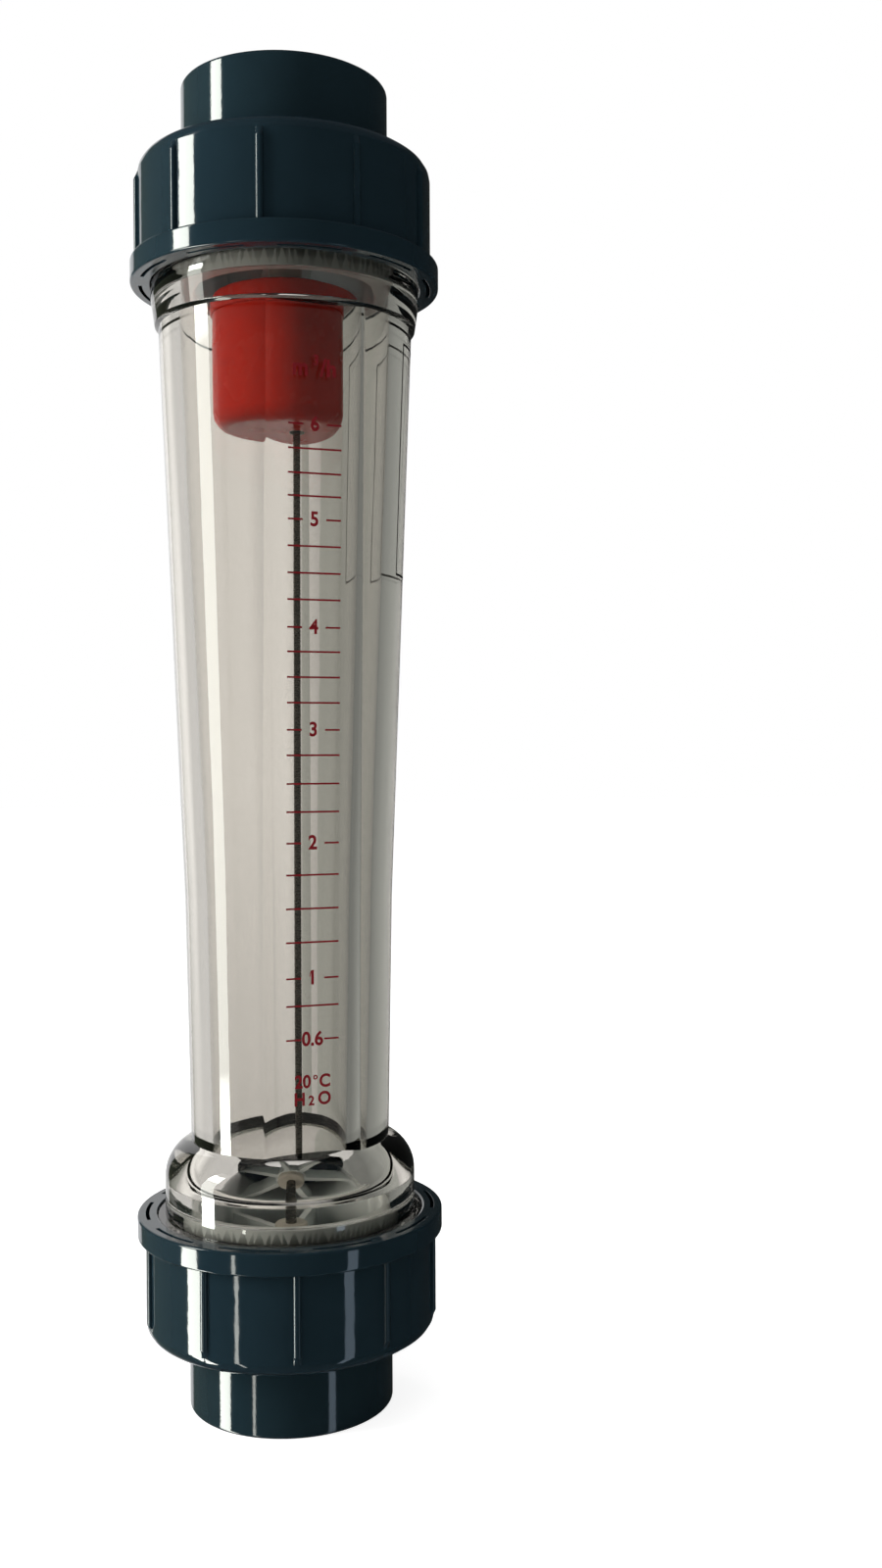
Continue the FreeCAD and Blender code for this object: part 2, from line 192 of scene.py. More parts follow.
def finished(name, mesh, crease):
    """Merges the points of a mesh that fall together, shades it smooth but for real edges, and links it."""
    same_place = 2e-6
    shape = bmesh.new()
    shape.from_mesh(mesh)
    bmesh.ops.remove_doubles(shape, verts=shape.verts, dist=same_place)
    shape.to_mesh(mesh)
    shape.free()
    mesh.shade_smooth()
    mesh.set_sharp_from_angle(angle=math.radians(crease))
    piece = bpy.data.objects.new(name, mesh)
    bpy.context.scene.collection.objects.link(piece)
    return piece


def put(tree, kind, inputs=None, **settings):
    """Adds one node: settings are its properties, and an input takes a constant or the socket feeding it."""
    made = tree.nodes.new(kind)
    for name, value in settings.items():
        setattr(made, name, value)
    for name, value in (inputs or {}).items():
        if isinstance(value, bpy.types.NodeSocket):
            tree.links.new(value, made.inputs[name])
        else:
            made.inputs[name].default_value = value
    return made


def linear(code):
    """The linear colour, with full alpha, of an sRGB hex code."""
    share = np.array([int(code[at : at + 2], 16) for at in (0, 2, 4)]) / 255
    share = np.where(share <= 0.04045, share / 12.92, ((share + 0.055) / 1.055) ** 2.4)
    return (*share.tolist(), 1.0)


def new_finish(name):
    """An empty node material and its tree."""
    finish = bpy.data.materials.new(name)
    finish.use_nodes = True
    finish.node_tree.nodes.clear()
    return finish, finish.node_tree


# Columns follow the edges of the flats as the tube tapers. None lies on an edge: the nearest ones stand a
# fraction of a millimetre to each side, which leaves the small rounding that a mould has.
flat_places = np.r_[0.004, 0.013, np.linspace(0.03, 0.97, 24), 0.987, 0.996]
side_places = np.r_[0.0016, 0.005, np.linspace(0.012, 0.988, 84), 0.995, 0.9984]
quarter_of_column = np.repeat([0, 1, 2, 3], [len(flat_places), len(side_places)] * 2)
place_in_quarter = np.r_[flat_places, side_places, flat_places, side_places]


def column_angle(height):
    """Angle of each column at a height: an even share of the flat or the round side that it belongs to."""
    edge = np.arcsin(flat_half_width / round_side(np.clip(height, shoulder_top, head_height)))
    start = np.stack([-edge, edge, math.pi - edge, math.pi + edge])[quarter_of_column, 0]
    length = np.stack([2 * edge, math.pi - 2 * edge] * 2)[quarter_of_column, 0]
    return start + length * place_in_quarter


def on_columns(stations, threaded=False):
    """Rows of a part that is round all over, from stations of (radius, height)."""
    angle = np.stack([column_angle(np.array([height])) for height in stations[:, 1]])
    height = stations[:, 1:] + 0 * angle
    radius = stations[:, :1] + 0 * angle
    if threaded:
        radius = np.minimum(radius, thread_radius(angle, height))
    return around_axis(radius, angle, height)


lower_outside = on_columns(
    profile(
        (counterbore, tube_foot, 0, 0),
        (thread_crest - thread_chamfer, tube_foot, 0.2, 0),
        (thread_crest, tube_foot + thread_chamfer, 0.4, 54),
        (thread_crest, lower_thread_top, 0.4, 1),
        (collar_radius, lower_thread_top, 0.3, 0),
        (collar_radius, collar_top, 0, 0),
        closed=False,
    ),
    threaded=True,
)
shoulder = on_columns(
    arc_through(
        (collar_radius, collar_top),
        ((collar_radius + base_radius) / 2 + shoulder_bulge, shoulder_middle + shoulder_bulge),
        (base_radius, shoulder_top),
        count=14,
    )[1:]
)

# The shoulder runs on as a low cone to the arch where it meets each flat, and the head's underside does too.
# Each cone rises by this share of the way inwards.
foot_rise, head_rise = 0.2, 0.12
foot_angle, head_angle = column_angle(np.array([shoulder_top])), column_angle(np.array([head_height]))
foot_arch = shoulder_top + foot_rise * (base_radius - column_radius(foot_angle, shoulder_top + 1))
head_arch = head_height - head_rise * (head_radius - column_radius(head_angle, head_height - 1))
part_way = np.array([0.3, 0.6, 0.85, 0.96])[:, None]
foot_cone_height = shoulder_top + part_way * (foot_arch - shoulder_top)
foot_cone_radius = base_radius - (foot_cone_height - shoulder_top) / foot_rise
foot_cone = around_axis(foot_cone_radius, foot_angle, foot_cone_height)
head_cone_height = head_arch + (1 - part_way[::-1]) * (head_height - head_arch)
head_cone_radius = head_radius - (head_height - head_cone_height) / head_rise
head_cone = around_axis(head_cone_radius, head_angle, head_cone_height)

climb = np.r_[0, 0.004, np.linspace(0.02, 1, 22)][:, None]
below_knee = foot_arch + climb * (knee_height - foot_arch)
above_knee = knee_height + (1 - climb[::-1][1:]) * (head_arch - knee_height)
column_heights = np.vstack([below_knee, above_knee])
column_angles = np.stack([column_angle(np.array([row.mean()])) for row in column_heights])
column = around_axis(column_radius(column_angles, column_heights), column_angles, column_heights)

# Under the upper thread the head starts with a small ledge and flares out to the crest.
ledge_width, ledge_height, flare_length, flare_round = 1.3, 1.0, 10, 8
bore_head_radius = head_radius - wall + 0.4706
head_and_bore = on_columns(
    profile(
        (head_radius, head_height, 0, 0),
        (head_radius + ledge_width, head_height + ledge_height, 0.6, 1),
        (thread_crest, head_height + flare_length, flare_round, 66),
        (thread_crest, tube_top - thread_chamfer, 0.4, 1),
        (thread_crest - thread_chamfer, tube_top, 0.2, 0),
        (counterbore, tube_top, 0.4, 2),
        (counterbore, support_face_high, 0.15, 0),
        (bore_head_radius, support_face_high, 0.3, 30),
        (knee_radius - wall, knee_height, 8, 20),
        (bore_foot_radius, recess_top, 1.0, 2),
        (recess_radius, recess_top, 0.3, 1),
        (recess_radius, support_face_low, 0.3, 1),
        (counterbore, support_face_low, 0.3, 4),
        (counterbore, tube_foot, 0, 0),
        closed=False,
    )[:-1],
    threaded=True,
)
tube = skin(
    "metering_tube_moulding",
    np.vstack([lower_outside, shoulder, foot_cone, column, head_cone, head_and_bore]),
)

# Clear SAN, injection moulded: hard, glossy and a little brighter at its edges than acrylic, with a faint
# smoky tint that shows where the eye looks along the wall, and long shallow waves where the melt flowed.
clear_san, tree = new_finish("clear_san_injection_moulded")
where = put(tree, "ShaderNodeTexCoord").outputs["Object"]
drawn_out = put(tree, "ShaderNodeMapping", {"Vector": where, "Scale": (1, 1, 0.08)}).outputs["Vector"]
flow_waves = put(tree, "ShaderNodeTexNoise", {"Vector": drawn_out, "Scale": 140, "Detail": 1.5})
ripple = put(
    tree, "ShaderNodeBump", {"Height": flow_waves.outputs["Fac"], "Strength": 0.25, "Distance": 0.0002}
)
surface = put(
    tree,
    "ShaderNodeBsdfPrincipled",
    {
        "Base Color": linear("d6d3ce"),
        "Roughness": 0.012,
        "IOR": 1.57,
        "Transmission Weight": 1.0,
        "Normal": ripple.outputs["Normal"],
    },
)
for_lamps = put(tree, "ShaderNodeBsdfTransparent", {"Color": linear("eeebe6")})
ray = put(tree, "ShaderNodeLightPath")
clear_or_lit = put(
    tree,
    "ShaderNodeMixShader",
    {0: ray.outputs["Is Shadow Ray"], 1: surface.outputs["BSDF"], 2: for_lamps.outputs["BSDF"]},
)
tint = put(tree, "ShaderNodeVolumeAbsorption", {"Color": linear("b2ab9c"), "Density": 8})
put(
    tree,
    "ShaderNodeOutputMaterial",
    {"Surface": clear_or_lit.outputs["Shader"], "Volume": tint.outputs["Volume"]},
)
tube.data.materials.append(clear_san)
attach(tube, "meter")
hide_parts("metering_tube")


# ---- Printed scale ----
# Red ink, screen printed on the front flat: a dash and a number for each whole cubic metre an hour, plain
# lines for the quarters, and the unit and the water temperature that the scale holds for.

ink_lift, ink_depth = 0.02, 0.04
half_scale, dash_length, mark_thickness = 9.35, 5.2, 0.62
number_size, unit_size, water_size = 6.8, 8.0, 6.3
unit_height, degree_height, water_height = 367.0, 122.6, 116.5
letter_width, letter_weight = 0.92, 0.028
numbered_marks = {"6": 348.3, "5": 316.3, "4": 279.8, "3": 244.8, "2": 205.8, "1": 158.9, "0.6": 137.5}
plain_marks = [340.1, 331.9, 324.2, 307.3, 298.2, 289.2, 271.5, 262.8, 254.1, 236.1, 226.3, 216.6]
plain_marks += [194.8, 183.1, 171.4, 149.3]


def on_flat(across, height, lift):
    """Points on the front flat, lifted straight off it."""
    return np.stack(np.broadcast_arrays(across, -flat_distance(height) - lift, height), -1)


def printed_bars(bars):
    """Ink bars of (left, right, bottom, top) as flat boxes: eight corners each, front face first."""
    left, right, bottom, top = np.array(bars).T
    across = np.stack([left, right, right, left] * 2, 1)
    height = np.stack([bottom, bottom, top, top] * 2, 1)
    lift = np.repeat([ink_lift + ink_depth, ink_lift], 4)
    corners = on_flat(across, height, lift).reshape(-1, 3)
    one = np.array([[0, 1, 2, 3], [7, 6, 5, 4], [0, 4, 5, 1], [1, 5, 6, 2], [2, 6, 7, 3], [3, 7, 4, 0]])
    faces = (one + 8 * np.arange(len(bars))[:, None, None]).reshape(-1, 4)
    mesh = bpy.data.meshes.new("bars")
    mesh.from_pydata(corners / 1000, [], faces.tolist())
    return mesh


def printed_text(text, size, across, height):
    """Lettering centred on a place on the flat: flat type, made a mesh and laid on the flat."""
    type_curve = bpy.data.curves.new(text, "FONT")
    type_curve.body, type_curve.size = text, size
    type_curve.align_x, type_curve.align_y = "CENTER", "CENTER"
    type_curve.extrude, type_curve.offset = ink_depth / 2, size * letter_weight
    type_curve.resolution_u = 6
    holder = bpy.data.objects.new(text, type_curve)
    bpy.context.scene.collection.objects.link(holder)
    mesh = bpy.data.meshes.new_from_object(holder.evaluated_get(bpy.context.evaluated_depsgraph_get()))
    flat = np.zeros(len(mesh.vertices) * 3)
    mesh.vertices.foreach_get("co", flat)
    flat = flat.reshape(-1, 3)
    placed = on_flat(
        across + letter_width * flat[:, 0], height + flat[:, 1], ink_lift + ink_depth / 2 + flat[:, 2]
    )
    mesh.vertices.foreach_set("co", (placed / 1000).ravel())
    bpy.data.objects.remove(holder)
    return mesh


marks = [(-half_scale, half_scale, at) for at in plain_marks]
for at in numbered_marks.values():
    marks += [(-half_scale, dash_length - half_scale, at), (half_scale - dash_length, half_scale, at)]
bars = [(left, right, at - mark_thickness / 2, at + mark_thickness / 2) for left, right, at in marks]
ink = bmesh.new()
ink.from_mesh(printed_bars(bars))
lettering = [(number, number_size, 0, at) for number, at in numbered_marks.items()]
lettering += [("m", unit_size, -5.2, unit_height), ("/h", unit_size, 4.6, unit_height)]
lettering += [("3", 4.8, 0.2, unit_height + 2.6)]
lettering += [("20", water_size, -3.5, degree_height), ("C", water_size, 4.4, degree_height)]
lettering += [("o", 3.2, 1.0, degree_height + 1.8)]
lettering += [("H", water_size, -4.6, water_height), ("O", water_size, 4.3, water_height)]
lettering += [("2", 4.7, -0.4, water_height - 0.6)]
flag_on_one = ("/", 2.6, -0.75, numbered_marks["1"] + 1.4)
lettering += [flag_on_one]
for text, size, across, height in lettering:
    ink.from_mesh(printed_text(text, size, across, height))
scale_mesh = bpy.data.meshes.new("flow_scale_print")
ink.to_mesh(scale_mesh)
ink.free()
scale_print = bpy.data.objects.new("flow_scale_print", scale_mesh)
bpy.context.scene.collection.objects.link(scale_print)

# Screen-printing ink, solvent based: a thin, even film with a soft sheen, a little thinner in places.
def printing_ink(name, thick, thin):
    """Ink film that goes from its full colour to a thinner one in patches about 3 mm across."""
    finish, tree = new_finish(name)
    where = put(tree, "ShaderNodeTexCoord").outputs["Object"]
    patches = put(tree, "ShaderNodeTexNoise", {"Vector": where, "Scale": 330, "Detail": 3})
    shade = put(
        tree,
        "ShaderNodeMix",
        {0: patches.outputs["Fac"], 6: linear(thick), 7: linear(thin)},
        data_type="RGBA",
    )
    film = put(
        tree,
        "ShaderNodeBsdfPrincipled",
        {"Base Color": shade.outputs[2], "Roughness": 0.45, "Specular IOR Level": 0.2},
    )
    put(tree, "ShaderNodeOutputMaterial", {"Surface": film.outputs["BSDF"]})
    return finish


scale_mesh.materials.append(printing_ink("red_screen_ink", "8c1620", "9e222c"))
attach(scale_print, "meter")


# ---- Label frame ----
# An empty frame in black ink on the right-hand side of the tube, printed round the wall, where such a meter
# has its data. It is drawn as a band carried round a rectangle with softened corners.

frame_low, frame_high = 300.0, 382.0
frame_from, frame_to = math.radians(52), math.radians(98.5)
frame_line, frame_corner, frame_radius = 0.8, 0.5, 42


def frame_path(inset):
    """Rounded rectangle in (millimetres round the wall, height), drawn in by an inset."""
    left, right = frame_from * frame_radius + inset, frame_to * frame_radius - inset
    low, high = frame_low + inset, frame_high - inset
    corners = ((left, low, 16), (right, low, 24), (right, high, 16), (left, high, 24))
    return profile(*((across, up, frame_corner, stations) for across, up, stations in corners))


outer_path, inner_path = frame_path(0), frame_path(frame_line)
section = np.stack([outer_path, outer_path, inner_path, inner_path], 1)
lift = np.array([ink_lift, ink_lift + ink_depth, ink_lift + ink_depth, ink_lift])
angle, height = section[..., 0] / frame_radius, section[..., 1]
label_frame = skin("label_frame_print", around_axis(round_side(height) + lift, angle, height)[:, ::-1])
label_frame.data.materials.append(printing_ink("black_screen_ink", "1c1b1a", "2b2927"))
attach(label_frame, "meter")


# ---- End connectors ----
# The two ends that a pipe is glued into, moulded in PVC-U: a deep plain socket, a stop for the pipe, the
# waterway, and a flange with a groove for the seal, which the union nut pulls against the tube.

socket_depth, flange_bottom, connector_top = 38.0, 33.0, tube_foot
pipe_bore, socket_outside, waterway, flange_radius = 31.6, 37.1, 27.0, 45.0
seal_inside, seal_outside, seal_depth = 40.585, 43.785, 2.4


def revolve(stations, columns=192):
    """Grid of points of an outline turned about the axis."""
    angle = np.arange(columns) / columns * whole_turn
    return around_axis(stations[:, :1], angle, stations[:, 1:])


def turned_over(points):
    """The same piece at the upper end: turned half a turn about a level line through the meter's middle."""
    return points * (1, -1, -1) + (0, 0, overall)


connector = revolve(
    profile(
        (pipe_bore, 0, 0.6, 3),
        (socket_outside, 0, 1.0, 6),
        (socket_outside, flange_bottom, 0.5, 1),
        (flange_radius, flange_bottom, 0.4, 2),
        (flange_radius, connector_top, 0.8, 0),
        (seal_outside, connector_top, 0.1, 0),
        (seal_outside, connector_top - seal_depth, 0.1, 1),
        (seal_inside, connector_top - seal_depth, 0.1, 0),
        (seal_inside, connector_top, 0.1, 2),
        (waterway, connector_top, 0.4, 1),
        (waterway, socket_depth, 0.4, 1),
        (pipe_bore, socket_depth, 0.3, 8),
        hold=0.08,
    )
)

# Dark grey PVC-U, injection moulded: a satin skin with a barely visible grain and soft handling marks.
dark_pvc, tree = new_finish("dark_grey_pvc_u_moulded")
where = put(tree, "ShaderNodeTexCoord").outputs["Object"]
clouds = put(tree, "ShaderNodeTexNoise", {"Vector": where, "Scale": 45, "Detail": 2})
shade = put(
    tree,
    "ShaderNodeMix",
    {0: clouds.outputs["Fac"], 6: linear("1c2b31"), 7: linear("22333a")},
    data_type="RGBA",
)
handled = put(
    tree,
    "ShaderNodeMapRange",
    {"Value": clouds.outputs["Fac"], "From Min": 0.1, "From Max": 0.9, "To Min": 0.04, "To Max": 0.09},
)
grain = put(tree, "ShaderNodeTexNoise", {"Vector": where, "Scale": 1400, "Detail": 2})
relief = put(tree, "ShaderNodeBump", {"Height": grain.outputs["Fac"], "Strength": 0.15, "Distance": 0.00005})
surface = put(
    tree,
    "ShaderNodeBsdfPrincipled",
    {
        "Base Color": shade.outputs[2],
        "Roughness": handled.outputs["Result"],
        "IOR": 1.52,
        "Specular IOR Level": 0.36,
        "Normal": relief.outputs["Normal"],
    },
)
put(tree, "ShaderNodeOutputMaterial", {"Surface": surface.outputs["BSDF"]})

for end, points in (("lower", connector), ("upper", turned_over(connector))):
    piece = skin(f"{end}_pipe_socket", points)
    piece.data.materials.append(dark_pvc)
    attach(piece, f"{end}_connector")
    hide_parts(f"{end}_end_connector")


# ---- Union nuts ----
# Two big nuts that draw the connectors up to the tube. Each is moulded in ABS: a drum with a rounded outer
# edge, ten low ribs to grip, a band round the mouth with curved core pockets in its face, and a coarse
# thread inside that matches the tube's.

nut_bottom, nut_mouth = 27.0, 70.6
nut_hole, nut_bore, nut_body, nut_band = 37.7, 48.3, 52.6, 55.49
band_bottom = nut_mouth - 8
rib_total = 10
rib_half_width, rib_crest, rib_edge_round = 1.3, 54.0, 1.1
rib_ramp_low, rib_ramp_high, rib_ramp_root = 29.0, 35.0, 51.2
pocket_from, pocket_to = math.radians(6), math.radians(30)
pocket_inside, pocket_outside, pocket_depth = 51.25, 52.55, 5.0
thread_play = 0.35

# One of the ten equal sectors, from the middle of a rib: columns crowd at the rib's edge and a pocket's ends.
across_rib = np.array([0.2, 0.4, 0.6, 0.78, 0.94, 1.08, 1.19, 1.27, 1.31, 1.36, 1.6, 2.4])
to_rib_edge = np.degrees(across_rib / nut_body)
half_sector = np.r_[0, to_rib_edge, 4, 5.5, 5.94, 6.02, 6.5, 8, 10, 12, 14, 16]
sector = np.radians(np.r_[half_sector, 18, 36 - half_sector[:0:-1]])
sectors = np.arange(rib_total) * whole_turn / rib_total
nut_columns = (sectors[:, None] + sector).ravel()
half_step = math.pi / rib_total
from_rib = np.abs((nut_columns + half_step) % (2 * half_step) - half_step)
in_pocket = (from_rib > pocket_from) & (from_rib < pocket_to)

nut_outline = profile(
    (nut_hole, nut_bottom, 0.5, 2),
    (nut_body, nut_bottom, 5.0, 0),
    (nut_body, rib_ramp_high - 1, 0, 0),
    (nut_body, rib_ramp_high, 0, 6),
    (nut_body, band_bottom, 0.25, 0),
    (nut_band, band_bottom, 0.7, 1),
    (nut_band, nut_mouth, 0.8, 0),
    (pocket_outside, nut_mouth, 0.05, 0),
    (pocket_outside, nut_mouth - 0.5, 0, 3),
    (pocket_outside, nut_mouth - pocket_depth, 0.05, 0),
    (pocket_inside, nut_mouth - pocket_depth, 0.05, 3),
    (pocket_inside, nut_mouth - 0.5, 0, 0),
    (pocket_inside, nut_mouth, 0.05, 0),
    (nut_bore, nut_mouth, 0.6, 56),
    (nut_bore, tube_foot + 1, 0, 4),
    (nut_bore, flange_bottom, 0.5, 2),
    (nut_hole, flange_bottom, 0.5, 1),
    hold=0.06,
)

radius = nut_outline[:, :1] + 0 * nut_columns
local_height = nut_outline[:, 1:] + 0 * nut_columns
outside = np.arange(len(nut_outline))[:, None] < np.argmax(nut_outline[:, 0] > nut_band - 0.5)
ramp = np.interp(local_height, [rib_ramp_low, rib_ramp_high], [rib_ramp_root, rib_crest])
past_flat = np.clip((from_rib * nut_body - rib_half_width + rib_edge_round) / rib_edge_round, 0, 1)
rib_top = ramp - rib_edge_round * (1 - np.sqrt(1 - past_flat**2))
on_rib = (from_rib * nut_body < rib_half_width + 0.02) & outside & (local_height > rib_ramp_low)
radius = np.where(on_rib & (rib_top > radius), rib_top, radius)
pocket_middle, pocket_reach = (pocket_inside + pocket_outside) / 2, 0.8
in_face = (np.abs(radius - pocket_middle) < pocket_reach) & ~outside
in_face &= (local_height < nut_mouth) & (local_height > band_bottom - 1)
local_height = np.where(in_face & ~in_pocket, nut_mouth, local_height)

# Moulded ABS in a dark slate colour: glossy, with the slight orange peel of a polished mould, faint flow
# clouding, and rub marks that dull it here and there.
slate_abs, tree = new_finish("slate_abs_moulded")
where = put(tree, "ShaderNodeTexCoord").outputs["Object"]
clouds = put(tree, "ShaderNodeTexNoise", {"Vector": where, "Scale": 30, "Detail": 5})
shade = put(
    tree,
    "ShaderNodeMix",
    {0: clouds.outputs["Fac"], 6: linear("1b2a31"), 7: linear("21323a")},
    data_type="RGBA",
)
rubbed = put(tree, "ShaderNodeTexNoise", {"Vector": where, "Scale": 70, "Detail": 3})
dulled = put(
    tree,
    "ShaderNodeMapRange",
    {"Value": rubbed.outputs["Fac"], "From Min": 0.1, "From Max": 0.9, "To Min": 0.03, "To Max": 0.09},
)
peel = put(tree, "ShaderNodeTexNoise", {"Vector": where, "Scale": 260, "Detail": 1})
relief = put(tree, "ShaderNodeBump", {"Height": peel.outputs["Fac"], "Strength": 0.12, "Distance": 0.0002})
surface = put(
    tree,
    "ShaderNodeBsdfPrincipled",
    {
        "Base Color": shade.outputs[2],
        "Roughness": dulled.outputs["Result"],
        "IOR": 1.53,
        "Specular IOR Level": 0.36,
        "Normal": relief.outputs["Normal"],
    },
)
put(tree, "ShaderNodeOutputMaterial", {"Surface": surface.outputs["BSDF"]})

quarter_turn = math.pi / 2
for end, rest_turn in (("lower", 6.15), ("upper", 31.15)):
    angle = quarter_turn + math.radians(rest_turn) + nut_columns
    height = local_height
    if end == "upper":
        angle = math.pi - angle + 2 * math.radians(rest_turn)
        height = overall - local_height
    threaded = (np.abs(radius - nut_bore) < 0.05) & (local_height > tube_foot) & ~outside
    cut = np.where(threaded, np.minimum(radius, thread_radius(angle, height) + thread_play), radius)
    piece = skin(f"{end}_union_nut_moulding", around_axis(cut, angle, height), crease=38)
    piece.data.materials.append(slate_abs)
    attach(piece, f"{end}_nut")
    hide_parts(f"{end}_union_nut")


# ---- Rod supports ----
# A spider in each end of the tube, moulded in natural polypropylene, holds the guide rod in its hub. It is
# the CAD node's own shape, with its points merged so that the round walls shade smoothly.

# Natural polypropylene, moulded: milky, cool and satin, so that light sinks in a little and edges look soft.
natural_pp, tree = new_finish("natural_polypropylene_moulded")
where = put(tree, "ShaderNodeTexCoord").outputs["Object"]
clouds = put(tree, "ShaderNodeTexNoise", {"Vector": where, "Scale": 60, "Detail": 3})
shade = put(
    tree,
    "ShaderNodeMix",
    {0: clouds.outputs["Fac"], 6: linear("d8e2e3"), 7: linear("e6ecec")},
    data_type="RGBA",
)
surface = put(
    tree,
    "ShaderNodeBsdfPrincipled",
    {
        "Base Color": shade.outputs[2],
        "Roughness": 0.38,
        "IOR": 1.49,
        "Subsurface Weight": 0.35,
        "Subsurface Radius": (1.0, 1.0, 1.0),
        "Subsurface Scale": 0.002,
    },
)
put(tree, "ShaderNodeOutputMaterial", {"Surface": surface.outputs["BSDF"]})

for end in ("lower", "upper"):
    piece = finished(f"{end}_spider", nodes[f"{end}_rod_support"].data.copy(), 35)
    piece.data.materials.clear()
    piece.data.materials.append(natural_pp)
    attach(piece, "meter")
    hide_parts(f"{end}_rod_support")


# ---- Guide rod and its nuts ----
# A straight rod of stainless steel, drawn and ground, runs through both hubs and is held by a hexagon nut
# at each end. The float slides on it.

rod_low, rod_high = box_mm("guide_rod")
rod_radius, rod_hole = rod_high[0], rod_high[0] + 0.05
nut_flats = 7.0

rod = skin(
    "ground_guide_rod",
    revolve(
        profile(
            (0, rod_low[2], 0, 0),
            (rod_radius - 0.5, rod_low[2], 0.05, 0),
            (rod_radius, rod_low[2] + 0.5, 0.1, 12),
            (rod_radius, rod_high[2] - 0.5, 0.1, 0),
            (rod_radius - 0.5, rod_high[2], 0.05, 0),
            (0, rod_high[2], 0, 0),
            closed=False,
            hold=0.05,
        ),
        columns=48,
    ),
    closed=False,
)

# Ground stainless steel: fine marks run round the rod, so its shine spreads a little along its length.
# The steel's own grey is darkened here: painted shade that keeps its reflections dark.
ground_steel, tree = new_finish("stainless_steel_ground")
where = put(tree, "ShaderNodeTexCoord").outputs["Object"]
rings = put(tree, "ShaderNodeMapping", {"Vector": where, "Scale": (0.15, 0.15, 1)}).outputs["Vector"]
marks = put(tree, "ShaderNodeTexNoise", {"Vector": rings, "Scale": 2500, "Detail": 4})
uneven = put(
    tree,
    "ShaderNodeMapRange",
    {"Value": marks.outputs["Fac"], "From Min": 0.3, "From Max": 0.7, "To Min": 0.2, "To Max": 0.36},
)
relief = put(tree, "ShaderNodeBump", {"Height": marks.outputs["Fac"], "Strength": 0.2, "Distance": 0.00003})
surface = put(
    tree,
    "ShaderNodeBsdfPrincipled",
    {
        "Base Color": linear("706c66"),
        "Metallic": 1.0,
        "Roughness": uneven.outputs["Result"],
        "Normal": relief.outputs["Normal"],
    },
)
put(tree, "ShaderNodeOutputMaterial", {"Surface": surface.outputs["BSDF"]})
rod.data.materials.append(ground_steel)
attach(rod, "meter")
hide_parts("guide_rod")

# The hexagon's radius in a direction is half its width over flats over the cosine from the nearest flat's
# middle, and both faces are chamfered by a cone.
hexagon_columns, sixth = 96, math.pi / 3
hexagon_angle = np.arange(hexagon_columns) / hexagon_columns * whole_turn
from_flat = (hexagon_angle + sixth / 2) % sixth - sixth / 2
hexagon = nut_flats / 2 / np.cos(from_flat)
face_circle = nut_flats / 2 - 0.1 + 0 * hexagon
cone_middle = np.minimum(hexagon, nut_flats / 2 + 0.2)
chamfer_middle, chamfer_end, hole_lead = 0.17, 0.35, 0.3
hole = rod_hole + 0 * hexagon
for end in ("lower", "upper"):
    low, high = (corner[2] for corner in box_mm(f"{end}_rod_nut"))
    rows = [
        (hole + hole_lead, low),
        (face_circle, low),
        (cone_middle, low + chamfer_middle),
        (hexagon, low + chamfer_end),
        (hexagon, high - chamfer_end),
        (cone_middle, high - chamfer_middle),
        (face_circle, high),
        (hole + hole_lead, high),
        (hole, high - hole_lead),
        (hole, low + hole_lead),
    ]
    points = [around_axis(row_radius, hexagon_angle + quarter_turn, level) for row_radius, level in rows]
    piece = skin(f"{end}_hexagon_nut", np.stack(points), crease=30)
    piece.data.materials.append(ground_steel)
    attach(piece, "meter")
    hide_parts(f"{end}_rod_nut")


# ---- Seals and buffers ----
# Black nitrile rings seal the supports and the connectors, and keep the CAD's squeezed section. Two pale
# silicone sleeves on the rod stop the float softly at each end of its travel.

def moulded_rubber(name, dark, pale, roughness):
    """Matt rubber with the faint cloudy bloom of moulding wax, in specks of about 2 mm."""
    finish, tree = new_finish(name)
    where = put(tree, "ShaderNodeTexCoord").outputs["Object"]
    bloom = put(tree, "ShaderNodeTexNoise", {"Vector": where, "Scale": 550, "Detail": 4})
    shade = put(
        tree, "ShaderNodeMix", {0: bloom.outputs["Fac"], 6: linear(dark), 7: linear(pale)}, data_type="RGBA"
    )
    surface = put(tree, "ShaderNodeBsdfPrincipled", {"Base Color": shade.outputs[2], "Roughness": roughness})
    put(tree, "ShaderNodeOutputMaterial", {"Surface": surface.outputs["BSDF"]})
    return finish


black_rubber = moulded_rubber("nitrile_rubber_moulded", "121212", "232322", 0.62)
pale_rubber = moulded_rubber("pale_silicone_rubber_moulded", "c4bfb2", "d3cfc4", 0.55)
for node in ("lower_face_seal", "upper_face_seal", "lower_support_seal", "upper_support_seal"):
    nodes[node].material_slots[0].material = black_rubber
for end in ("lower", "upper"):
    low, high = box_mm(f"{end}_stop_buffer")
    soft, hard = (0.8, 0.1) if end == "upper" else (0.1, 0.8)
    piece = skin(
        f"{end}_buffer_sleeve",
        revolve(
            profile(
                (rod_hole, low[2], 0.1, 0),
                (high[0], low[2], soft, 1),
                (high[0], high[2], hard, 0),
                (rod_hole, high[2], 0.1, 1),
                hold=0.04,
            ),
            columns=64,
        ),
    )
    piece.data.materials.append(pale_rubber)
    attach(piece, "meter")
    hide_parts(f"{end}_stop_buffer")


# ---- Float ----
# The red float that the flow lifts. Its shell and lid are moulded in polypropylene and pressed together, and
# inside are a steel ring that gives it its weight and two white bushes that run on the rod. The shell, the
# ring and the lower bush are 6 mm shorter or higher at the foot than the CAD's.

